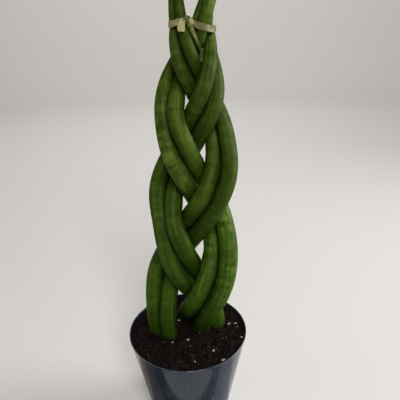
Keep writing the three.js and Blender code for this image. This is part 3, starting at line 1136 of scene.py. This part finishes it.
    def lay(self, name: str, grains: Scatter, level: int, seed: int, sink: float) -> Piece:
        """Irregular grains lying on the soil, all in one mesh.

        Each grain is a ball, pushed in and out at random, stretched to its three sizes,
        tilted a little off level and then turned about the upright axis. Both turns are
        products of complex numbers.

        Args:
            name: the piece's name.
            grains: their places and sizes.
            level: how finely the ball is divided.
            seed: for the shapes and the turns.
            sink: share of the upright size that is sunk into the soil.

        Returns:
            The object that holds all the grains.
        """
        rng = np.random.default_rng(seed)
        count = len(grains.places)
        points, faces = ball(level)
        offset = rng.uniform(0, 50, (count, 1, 3))
        rough = self.fine_roughness if level > 1 else self.roughness
        rough = rng.uniform(-rough, rough, (count, len(points)))
        lumpy = 1 + self.lumpiness * noise(points[None] * self.lump_size + offset, seed) + rough
        shapes = points[None] * lumpy[..., None] * grains.sizes[:, None]
        turn, tilt = rng.uniform(0, TURN, count), rng.normal(0, self.slope, count)
        turn = turn if grains.turns is None else grains.turns
        tones = rng.uniform(0, 1, count) if grains.tones is None else grains.tones
        side = (shapes[..., 1] + 1j * shapes[..., 2]) * np.exp(1j * tilt)[:, None]
        flat = (shapes[..., 0] + 1j * side.real) * np.exp(1j * turn)[:, None]
        ground = self.level(*grains.places.T) + grains.sizes[:, 2] * (1 - 2 * sink)
        middles = np.column_stack([grains.places, ground])[:, None]
        placed = np.stack([flat.real, flat.imag, side.imag], axis=-1) + middles
        table = (faces[None] + np.arange(count)[:, None, None] * len(points)).reshape(-1, 3)
        piece = add_mesh(name, placed, table.tolist())
        add_attributes(piece, tone=np.repeat(tones[:, None], len(points), axis=1))
        return piece

    def places(self, rng: np.random.Generator, count: int, margin: float) -> np.ndarray:
        """Random places on the soil, clear of the leaves and of the wall.

        Args:
            rng: draws the places.
            count: how many are wanted.
            margin: how far they keep from the wall.

        Returns:
            x and y of each place.
        """
        angle = rng.uniform(0, TURN, 3 * count)
        reach = self.pot.inner(self.edge_height) - margin
        out = reach * np.sqrt(rng.uniform(0, 1, 3 * count))
        x, y = out * np.cos(angle), out * np.sin(angle)
        free = self.braid.clear_of(x, y, self.crown_height) > self.clearance
        return np.column_stack([x, y])[free][:count]

    def build_grains(self) -> None:
        """The loose crumbs of peat, the perlite and the chips of bark."""
        rng = np.random.default_rng(5)
        places = self.places(rng, self.crumbs, 1 * MM)
        size = rng.lognormal(math.log(self.crumb_size), self.crumb_spread, (len(places), 1)) * MM
        grains = Scatter(places, size * rng.uniform(0.6, 1.3, (len(places), 3)))
        crumbs = self.lay("soil_crumbs", grains, 0, 6, 0.3)
        dress(crumbs, Peat("crumbs", brown=(0.030, 0.017, 0.0135, 1)).make())
        places = self.places(rng, self.specks, 3 * MM)
        size = rng.uniform(*self.speck_sizes, (len(places), 1)) * MM
        grains = Scatter(places, size * rng.uniform(0.7, 1.3, (len(places), 3)))
        grains = grains.led_by(self.perlite, 0.15, rng)
        perlite = self.lay("perlite_grains", grains, 2, 8, 0.2)
        white = Grain("perlite", (0.62, 0.56, 0.49, 1), (0.055, 0.043, 0.035, 1))
        dress(perlite, white.make())
        places = self.places(rng, self.chips, 3 * MM)
        size = rng.uniform(*self.chip_sizes, (len(places), 1)) * MM
        length = rng.uniform(*self.chip_lengths, (len(places), 1))
        shape = np.concatenate([length, 0 * length + self.chip_flatness], axis=1)
        grains = Scatter(places, size * shape).led_by(self.twigs, 0.22, rng)
        bark = self.lay("bark_chips", grains, 1, 9, 0.1)
        brown = Grain("bark", (0.16, 0.12, 0.06, 1), (0.022, 0.014, 0.010, 1), 900)
        dress(bark, brown.make())


# ---------------- the tie


@dataclass
class Course:
    """The way that one flat strip runs, station by station."""

    line: np.ndarray  # the points under the middle of the strip
    out: np.ndarray  # the direction of its outer face
    width: np.ndarray
    aged: np.ndarray  # 0 is fresh pale straw, 1 is old and olive
    closed: bool = False  # whether it ends where it starts


@dataclass(frozen=True)
class Wrap:
    """One turn of the knot: a narrow loop of strip round the gathered band, in mm."""

    name: str
    middle: Triple
    half_depth: float
    half_height: float
    width: float
    tilt: float  # how far its top leans to the right, in radians
    aged: float
    phase: float  # where it is wider, in radians
    uneven: float = 0.16  # how much wider and narrower it gets, as a share of its width
    steps: int = 56

    def course(self) -> Course:
        """The turn's way.

        Returns:
            An ellipse that stands upright in depth and leans sideways.
        """
        turn = circle(self.steps)[:, None]
        back = np.array([[0.0, 1.0, 0.0]])
        up = np.array([[math.sin(self.tilt), 0.0, math.cos(self.tilt)]])
        line = self.half_depth * np.cos(turn) * back + self.half_height * np.sin(turn) * up
        out = unit(np.cos(turn) / self.half_depth * back + np.sin(turn) / self.half_height * up)
        width = self.width * (1 + self.uneven * np.sin(turn[:, 0] * 2 + self.phase))
        aged = np.full(self.steps, self.aged)
        return Course((np.array(self.middle) + line) * MM, out, width * MM, aged, True)


@dataclass(frozen=True)
class LooseEnd:
    """A strip that leaves the knot and ends in the air."""

    name: str
    # its stations: x, y and z in mm, its outward direction, its width in mm and its age
    stations: Rows
    steps: int = 70

    def course(self) -> Course:
        """The end's way: smooth curves through its stations."""
        table = spline(self.stations, self.steps)
        return Course(table[:, :3] * MM, unit(table[:, 3:6]), table[:, 6] * MM, table[:, 7])


@dataclass
class Tie:
    """The strip of raffia round the bunch, with its knot and its two loose ends."""

    braid: Braid
    centre: Pair = (11 * MM, 1 * MM)  # of the bunch, at the strip's height
    height: float = 392.6 * MM
    width: float = 4.9 * MM
    gathered: float = 2.6 * MM  # the strip's width inside the knot
    thickness: float = 0.45 * MM
    clearance: float = 0.3 * MM
    rise: float = 3.8 * MM
    rise_middle: float = math.radians(-13)  # from the front, to the left
    rise_width: float = math.radians(26) * math.sqrt(2)
    knot_middle: float = math.radians(-7)
    knot_width: float = math.radians(13) * math.sqrt(2)
    lean: float = 3.7 * MM
    # how old the band is, and how much older it is on the right and in the knot
    ages: Triple = (0.3, 0.5, 0.3)
    old_from: Pair = (0, math.radians(25))  # the right side sets in here
    old_to: Pair = (math.radians(120), math.pi)  # and fades out here
    steps: int = 360
    easing: float = 2  # in stations
    profile_points: int = 28
    edge_power: float = 0.7  # the lower, the squarer the section's edges are
    face_power: float = 0.35
    # the scales of the fibres, curls and waves, per metre along, across and through the strip
    fibres: Triple = (25, 2400, 300)
    curls: Triple = (160, 260, 0)
    waves: Triple = (300, 300, 300)
    fibre_height: float = 0.18  # as a share of half the thickness
    curl_height: float = 0.12 * MM
    wave_height: float = 0.07  # as a share of half the width
    wraps: tuple[Wrap, ...] = (
        Wrap("tie_knot", (8.0, -15.2, 397.3), 1.5, 2.6, 4.2, 0.35, 0.95, 6.65),
        Wrap("tie_hitch", (11.4, -15.2, 396.4), 1.3, 1.9, 2.8, -0.35, 0, 0),
    )
    flap: LooseEnd = LooseEnd(
        "tie_flap",
        (
            (6.9, -15.2, 397.6, -0.1, -0.5, 1, 2.4, 0.1),
            (5.9, -16.2, 397.2, -0.3, -0.9, 0.6, 3.4, 0),
            (4.9, -16.1, 395.6, -0.2, -1, 0.25, 4.9, 0),
            (4.2, -15.6, 393.4, -0.15, -1, 0, 5.5, 0.02),
            (3.9, -15.3, 391.3, -0.15, -1, 0, 5.8, 0.12),
            (3.7, -15.6, 389.4, -0.1, -1, 0.15, 4.8, 0.2),
        ),
    )
    tail: LooseEnd = LooseEnd(
        "tie_tail",
        (
            (10.8, -14.4, 394.6, 0.1, -1, 0.1, 1.2, 0.9),
            (11.2, -14.9, 393.2, 0.1, -1, 0, 1.9, 0.75),
            (11.9, -14.6, 391.4, 0, -1, -0.2, 2.6, 0.6),
            (13.4, -12.8, 387.2, -0.1, -1, -0.2, 2.5, 0.6),
            (15.1, -11.7, 383.4, -0.3, -1, -0.2, 2.1, 0.75),
            (16.7, -10.6, 380.0, -0.4, -1, -0.2, 1.9, 0.95),
            (18.1, -9.9, 376.9, -0.4, -1, -0.2, 2.0, 1.1),
            (18.9, -9.5, 374.2, -0.4, -1, -0.2, 2.5, 1.2),
            (18.7, -9.3, 371.2, -0.2, -1, -0.2, 2.7, 1.3),
            (18.4, -9.1, 367.2, 0, -1, -0.2, 2.0, 1.4),
        ),
    )

    def strip_height(self, angle: np.ndarray) -> np.ndarray:
        """The strip's height on each side: it climbs to the knot and leans to the right."""
        climb = bell(wrapped(angle - FRONT - self.rise_middle), self.rise_width)
        return self.height + self.rise * climb - self.lean * np.cos(angle) / 2

    def sides(self, spots: np.ndarray) -> np.ndarray:
        """The side of the bunch that each spot lies on, as an angle from +X."""
        return np.arctan2(spots[:, 1] - self.centre[1], spots[:, 0] - self.centre[0])

    def support(self, out: np.ndarray, z: np.ndarray) -> np.ndarray:
        """The spot beside the leaf that stands out furthest in each level direction.

        Args:
            out: the directions.
            z: the strip's height for each.

        Returns:
            x and y of each spot, clear of the leaf by the strip's clearance.
        """
        levels = [z + side * self.width for side in (-0.5, 0, 0.5)]
        table = np.array([leaf.section(level) for leaf in self.braid.leaves for level in levels])
        reach = (out * table[..., :2]).sum(axis=-1) + table[..., 2]
        best = table[reach.argmax(axis=0), np.arange(len(z))]
        return best[:, :2] + out * (best[:, 2:] + self.clearance)

    def loop(self) -> Course:
        """The band's way round the bunch, clockwise from above.

        It is the taut loop round the leaves' cuts, whose height goes by the side that each
        spot lies on. It is then spaced evenly along its length and eased a little.

        Returns:
            The closed way.
        """
        angle = FRONT - TURN * (np.arange(self.steps) + 0.5) / self.steps
        out = np.column_stack([np.cos(angle), np.sin(angle)])
        spots = self.support(out, self.strip_height(angle))
        spots = self.support(out, self.strip_height(self.sides(spots)))
        ring = np.concatenate([spots, spots[:1]])
        run = lengths(ring)
        even = np.linspace(0, run[-1], self.steps, endpoint=False)
        spots = np.stack([np.interp(even, run, column) for column in ring.T], axis=1)
        line = np.column_stack([spots, self.strip_height(self.sides(spots))])
        margin = self.steps // 4
        line = np.pad(line, ((margin, margin), (0, 0)), "wrap")
        line = eased(line, self.easing)[margin:-margin]
        ahead = onward(line, True)
        out = unit(np.column_stack([-ahead[:, 1], ahead[:, 0], 0 * ahead[:, 0]]))
        away = wrapped(self.sides(line) - FRONT - self.knot_middle)
        pinched = bell(away, self.knot_width)
        width = self.width + (self.gathered - self.width) * pinched
        right = smooth_step(*self.old_from, away) * (1 - smooth_step(*self.old_to, away))
        aged = self.ages[0] + self.ages[1] * right + self.ages[2] * pinched
        return Course(line, out, width, aged, True)

    def strip(self, name: str, course: Course, seed: int) -> Piece:
        """A flat fibrous strip along its course.

        Its section is a flattened ring, width by thickness, whose outline is a power of
        the sine and cosine, with small ridges from the fibres.

        Args:
            name: the piece's name.
            course: the way it runs.
            seed: for the fibres.

        Returns:
            The strip's object.
        """
        line, width = course.line, course.width[:, None]
        along = onward(line, course.closed)
        across = unit(np.cross(course.out, along))
        face = np.cross(along, across)
        turn = circle(self.profile_points)[None]
        side = np.sign(np.cos(turn)) * np.abs(np.cos(turn)) ** self.edge_power
        depth = np.sign(np.sin(turn)) * np.abs(np.sin(turn)) ** self.face_power
        place = (lengths(line)[:, None] + seed, side * width / 2, depth * self.thickness)
        place = np.stack(np.broadcast_arrays(*place), axis=-1)
        fibres = self.fibre_height * noise(place * self.fibres, seed, 1)
        curls = self.curl_height * (1 + noise(place * self.curls, seed + 1, 2))
        waves = self.wave_height * noise(place * self.waves, seed + 2)
        lift = self.thickness * (1 + depth * (1 + fibres)) / 2 + curls
        shift = side * width / 2 * (1 + waves)
        rings = line[:, None] + shift[..., None] * across[:, None] + lift[..., None] * face[:, None]
        ends = () if course.closed else (rings[0].mean(axis=0), rings[-1].mean(axis=0))
        piece = add_skin(name, rings, *ends)
        add_attributes(piece, fibre=place, aged=course.aged[:, None] + 0 * side)
        return piece

    def build(self) -> None:
        """Makes and dresses the band, the two turns of its knot and its loose ends."""
        fibre = Raffia().make()
        parts = [("tie_band", self.loop())]
        parts += [(part.name, part.course()) for part in (*self.wraps, self.flap, self.tail)]
        for number, (name, course) in enumerate(parts):
            dress(self.strip(name, course, 40 + 10 * number), fibre, "tie")


# ---------------- the studio


@dataclass(frozen=True)
class Card:
    """A toned sheet on the floor by the pot, seen only in the gloss of its wall: a painted reflection
    of shadow and boards on the floor.
    """

    name: str
    middle: Pair
    half: Pair  # its half-sizes along X and Y
    height: float
    colour: Colour

    def lay(self) -> None:
        """Makes the sheet and hides it from all but mirrored rays."""
        x = self.middle[0] + np.array([-1, 1, 1, -1]) * self.half[0]
        y = self.middle[1] + np.array([-1, -1, 1, 1]) * self.half[1]
        place = np.column_stack([x, y, np.full(4, self.height)])
        sheet = add_mesh(self.name, place, [[0, 1, 2, 3]])
        looks = {"Base Color": self.colour, "Specular IOR Level": 0.0}
        sheet.data.materials.append(Shader(self.name).finish(looks))
        for ray in ("camera", "diffuse", "shadow", "transmission"):
            setattr(sheet, "visible_" + ray, False)


@dataclass(frozen=True)
class Lamp:
    """A square soft light that faces a point."""

    name: str
    place: Triple
    size: float  # the length of its side
    watts: float
    spread: float = math.pi  # the angle that its beam opens to
    aim: Triple = (0.0, 0.0, 0.25)

    def hang(self) -> None:
        """Puts the light in its place."""
        data = bpy.data.lights.new(self.name, "AREA")
        data.spread = self.spread
        data.size = self.size
        data.energy = self.watts
        lamp = add_object(self.name, data)
        lamp.location = self.place
        lamp.rotation_mode = "QUATERNION"
        lamp.rotation_quaternion = (Vector(self.aim) - Vector(self.place)).to_track_quat("-Z", "Y")


@dataclass
class Studio:
    """The camera, the pale floor and the soft lights."""

    eye: Triple = (15.2 * MM, -347.5 * MM, 392 * MM)
    pitch: float = math.radians(22.53)
    roll: float = math.radians(-1.2)
    lens: float = 37.44
    sensor: float = 36.0
    clip_start: float = 0.01
    floor_start: float = 0.02
    floor_reach: float = 2.2
    bend_radius: float = 0.9
    wall_height: float = 1.6
    sides: int = 96
    flat_rings: int = 30
    bend_rings: int = 24
    floor_colour: Colour = (0.86, 0.835, 0.80, 1)
    sky: Colour = (0.86, 0.87, 0.88, 1)
    sky_strength: float = 0.06
    cards: tuple[Card, ...] = (
        Card("card_front_left", (-0.20, -0.058), (0.20, 0.0125), 0.0006, (0.09, 0.085, 0.08, 1)),
        Card("card_front_right", (0.20, -0.062), (0.20, 0.010), 0.0006, (0.20, 0.195, 0.19, 1)),
        Card("card_left", (-0.105, -0.0295), (0.055, 0.0185), 0.0004, (0.28, 0.24, 0.20, 1)),
        Card("card_far_left", (-0.105, 0.007), (0.055, 0.018), 0.0002, (0.52, 0.45, 0.38, 1)),
        Card("card_right", (0.105, -0.030), (0.055, 0.030), 0.0003, (0.52, 0.50, 0.49, 1)),
    )
    lamps: tuple[Lamp, ...] = (
        Lamp("key", (0.30, -1.28, 1.30), 0.7, 16),
        Lamp("right_side", (1.75, 0.25, 0.65), 1.0, 5.4, math.radians(75)),
        Lamp("left_side", (-1.7, -0.2, 0.9), 1.0, 0.2, math.radians(75)),
        Lamp("back", (0.0, 1.3, 1.7), 1.2, 2),
        Lamp("wall", (0.0, 1.2, 1.9), 1.4, 19, aim=(0.0, 3.0, 0.2)),
    )

    def place_camera(self) -> None:
        """Puts the camera in front of the braid, looking down at it, tipped to one side."""
        data = bpy.data.cameras.new("camera")
        data.lens = self.lens
        data.sensor_width = self.sensor
        data.clip_start = self.clip_start
        camera = add_object("camera", data)
        lifted = Matrix.Rotation(math.pi / 2 - self.pitch, 4, "X")
        turn = lifted @ Matrix.Rotation(self.roll, 4, "Z")
        camera.matrix_world = Matrix.Translation(self.eye) @ turn
        bpy.context.scene.camera = camera

    def lay_floor(self) -> None:
        """A plain pale floor that rises into a round wall, far outside every view.

        The profile is flat out to the bend, a quarter circle, and then upright. It is
        turned about the upright axis.
        """
        flat = np.geomspace(self.floor_start, self.floor_reach, self.flat_rings)[:, None]
        bend = np.linspace(0, math.pi / 2, self.bend_rings)[1:, None]
        bent = self.floor_reach + self.bend_radius * np.sin(bend)
        climb = self.bend_radius * (1 - np.cos(bend))
        out = np.concatenate([flat, bent, bent[-1:]])
        up = np.concatenate([0 * flat, climb, [[self.wall_height]]])
        angle = circle(self.sides)
        floor = add_skin("floor", turned(out, angle, up)[::-1], last=(0, 0, 0))
        looks = {"Base Color": self.floor_colour, "Roughness": 0.8, "Specular IOR Level": 0.1}
        floor.data.materials.append(Shader("pale_floor").finish(looks))

    def light(self) -> None:
        """Hangs the lights, in a dim surrounding."""
        for lamp in self.lamps:
            lamp.hang()
        world = bpy.data.worlds.new("surrounding")
        world.use_nodes = True
        background = world.node_tree.nodes["Background"]
        background.inputs["Color"].default_value = self.sky
        background.inputs["Strength"].default_value = self.sky_strength
        bpy.context.scene.world = world


def main() -> None:
    """Builds the camera, the plant and its pot around the frame, then the studio."""
    logging.basicConfig(level=logging.INFO, format="%(name)s: %(message)s")
    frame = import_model()
    studio = Studio()
    studio.place_camera()
    braid = Braid()
    braid.build(frame["nodes"])
    pot = Pot()
    pot.build()
    soil = SoilBed(braid, pot)
    soil.build_bed()
    soil.build_grains()
    Tie(braid).build()
    studio.lay_floor()
    for card in studio.cards:
        card.lay()
    studio.light()
    scene = bpy.context.scene
    scene.view_settings.view_transform = "Standard"
    scene.view_settings.look = "Medium High Contrast"


if __name__ == "__main__":
    main()
